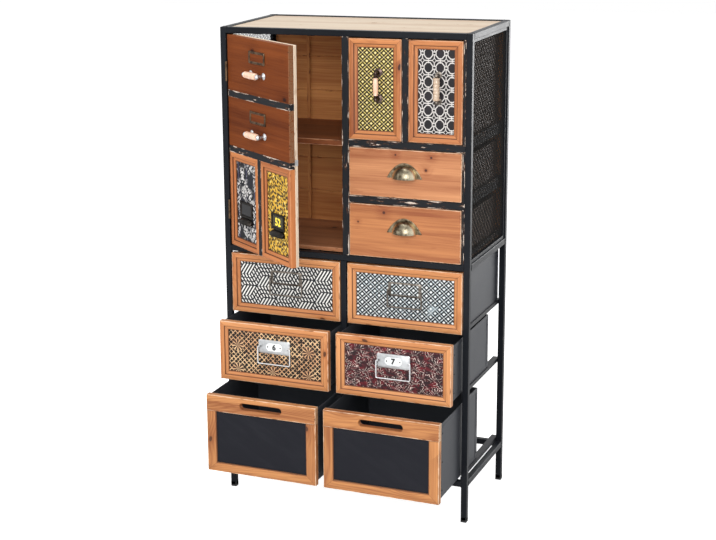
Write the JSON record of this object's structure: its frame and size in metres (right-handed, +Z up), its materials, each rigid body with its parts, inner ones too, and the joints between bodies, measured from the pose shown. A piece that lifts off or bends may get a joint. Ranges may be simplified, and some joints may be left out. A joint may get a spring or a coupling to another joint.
{
  "type": "apothecary chest",
  "caption": "Tall steel-framed apothecary chest with a door made of drawer fronts, wooden drawers, patterned sheet-metal drawers with bail pulls and open bins",
  "frame": {"origin": "on the floor, at the centre of the rectangle that the four posts' feet mark", "axes": "+X to the right seen from the front, -Y to the front, +Z up"},
  "size_m": [0.64, 0.4932, 1.2],
  "materials": {
    "frame_paint": "black paint on steel tube, satin, lightly rubbed at the corners",
    "foot_plastic": "black moulded plastic",
    "pale_wood": "pale planed pine, oiled",
    "red_wood": "red-brown stained pine with knots, satin lacquer",
    "black_wood": "black paint on wood, worn to the wood in flecks",
    "mesh_paint": "black paint on woven wire",
    "dark_bronze": "dark bronze, aged",
    "bright_steel": "silver-coloured metal, slightly aged",
    "patterned_panel": "panel with a small all-over pattern under lacquer",
    "glazed_grip": "glossy pale peach glaze",
    "black_pull": "black paint, satin",
    "drawer_wood": "plain planed wood",
    "cream_grip": "glossy cream glaze",
    "cup_metal": "aged pewter-coloured metal",
    "sheet_paint": "dark grey powder coat on folded sheet steel",
    "pine": "honey-coloured pine with knots, satin wax"
  },
  "bodies": {
    "frame": {"posts": "frame_paint", "foot_caps": "foot_plastic", "frame_rails": "frame_paint", "lower_stiles": "frame_paint", "drawer_runners": "frame_paint", "top_panel": "pale_wood", "support_lugs": "frame_paint", "deck_panel": "red_wood", "divider_panel": "black_wood", "drawer_shelves": "black_wood", "face_strips": "black_wood", "back_boards": "red_wood", "cupboard_shelf": "red_wood", "mesh_left": "mesh_paint", "mesh_right": "mesh_paint", "hinge_post_leaves": "dark_bronze", "door_catch": "bright_steel"},
    "door": {"door_slab": "pale_wood", "door_boards": "red_wood", "door_strips": "black_wood", "door_frames": "red_wood", "door_panels": "patterned_panel", "door_pull_posts": "bright_steel", "door_pull_grips": "glazed_grip", "door_label_holders": "dark_bronze", "door_card_pulls": "black_pull", "door_hinge_leaves": "dark_bronze", "door_strike": "bright_steel"},
    "tall_left_drawer": {"tall_left_box": "drawer_wood", "tall_left_front": "red_wood", "tall_left_pull": "glazed_grip"},
    "tall_right_drawer": {"tall_right_box": "drawer_wood", "tall_right_front": "red_wood", "tall_right_pull": "cream_grip"},
    "cup_high_drawer": {"cup_high_box": "drawer_wood", "cup_high_front": "red_wood", "cup_high_pull": "cup_metal"},
    "cup_low_drawer": {"cup_low_box": "drawer_wood", "cup_low_front": "red_wood", "cup_low_pull": "cup_metal"},
    "mid_left_drawer": {"mid_left_box": "sheet_paint", "mid_left_front": "pine", "mid_left_plate": "dark_bronze"},
    "mid_left_handle": {"mid_left_bail": "dark_bronze"},
    "mid_right_drawer": {"mid_right_box": "sheet_paint", "mid_right_front": "pine", "mid_right_plate": "dark_bronze"},
    "mid_right_handle": {"mid_right_bail": "dark_bronze"},
    "number_left_drawer": {"number_left_box": "sheet_paint", "number_left_front": "pine", "number_left_plate": "bright_steel"},
    "number_left_handle": {"number_left_bail": "bright_steel"},
    "number_right_drawer": {"number_right_box": "sheet_paint", "number_right_front": "pine", "number_right_plate": "bright_steel"},
    "number_right_handle": {"number_right_bail": "bright_steel"},
    "bin_left_drawer": {"bin_left_box": "sheet_paint", "bin_left_front": "pine"},
    "bin_right_drawer": {"bin_right_box": "sheet_paint", "bin_right_front": "pine"}
  },
  "joints": [
    {"name": "door_hinge", "type": "hinge", "parent": "frame", "child": "door", "pos_m": [-0.3035, -0.1607, 0.9195], "axis": [0, 0, -1], "range_deg": [-36.5, 78.5]},
    {"name": "tall_left_slide", "type": "slide", "parent": "frame", "child": "tall_left_drawer", "axis": [0, -1, 0], "range_m": [0, 0.19]},
    {"name": "tall_right_slide", "type": "slide", "parent": "frame", "child": "tall_right_drawer", "axis": [0, -1, 0], "range_m": [0, 0.19]},
    {"name": "cup_high_slide", "type": "slide", "parent": "frame", "child": "cup_high_drawer", "axis": [0, -1, 0], "range_m": [0, 0.19]},
    {"name": "cup_low_slide", "type": "slide", "parent": "frame", "child": "cup_low_drawer", "axis": [0, -1, 0], "range_m": [0, 0.19]},
    {"name": "mid_left_slide", "type": "slide", "parent": "frame", "child": "mid_left_drawer", "axis": [0, -1, 0], "range_m": [0, 0.21]},
    {"name": "mid_left_bail_pivot", "type": "hinge", "parent": "mid_left_drawer", "child": "mid_left_handle", "pos_m": [-0.15625, -0.1552, 0.577], "axis": [-1, 0, 0], "range_deg": [0, 95]},
    {"name": "mid_right_slide", "type": "slide", "parent": "frame", "child": "mid_right_drawer", "axis": [0, -1, 0], "range_m": [0, 0.21]},
    {"name": "mid_right_bail_pivot", "type": "hinge", "parent": "mid_right_drawer", "child": "mid_right_handle", "pos_m": [0.15625, -0.1552, 0.577], "axis": [-1, 0, 0], "range_deg": [0, 95]},
    {"name": "number_left_slide", "type": "slide", "parent": "frame", "child": "number_left_drawer", "axis": [0, -1, 0], "range_m": [-0.08, 0.13]},
    {"name": "number_left_bail_pivot", "type": "hinge", "parent": "number_left_drawer", "child": "number_left_handle", "pos_m": [-0.15625, -0.2352, 0.42], "axis": [-1, 0, 0], "range_deg": [0, 95]},
    {"name": "number_right_slide", "type": "slide", "parent": "frame", "child": "number_right_drawer", "axis": [0, -1, 0], "range_m": [-0.08, 0.13]},
    {"name": "number_right_bail_pivot", "type": "hinge", "parent": "number_right_drawer", "child": "number_right_handle", "pos_m": [0.15625, -0.2352, 0.42], "axis": [-1, 0, 0], "range_deg": [0, 95]},
    {"name": "bin_left_slide", "type": "slide", "parent": "frame", "child": "bin_left_drawer", "axis": [0, -1, 0], "range_m": [-0.165, 0.055]},
    {"name": "bin_right_slide", "type": "slide", "parent": "frame", "child": "bin_right_drawer", "axis": [0, -1, 0], "range_m": [-0.165, 0.055]}
  ]
}
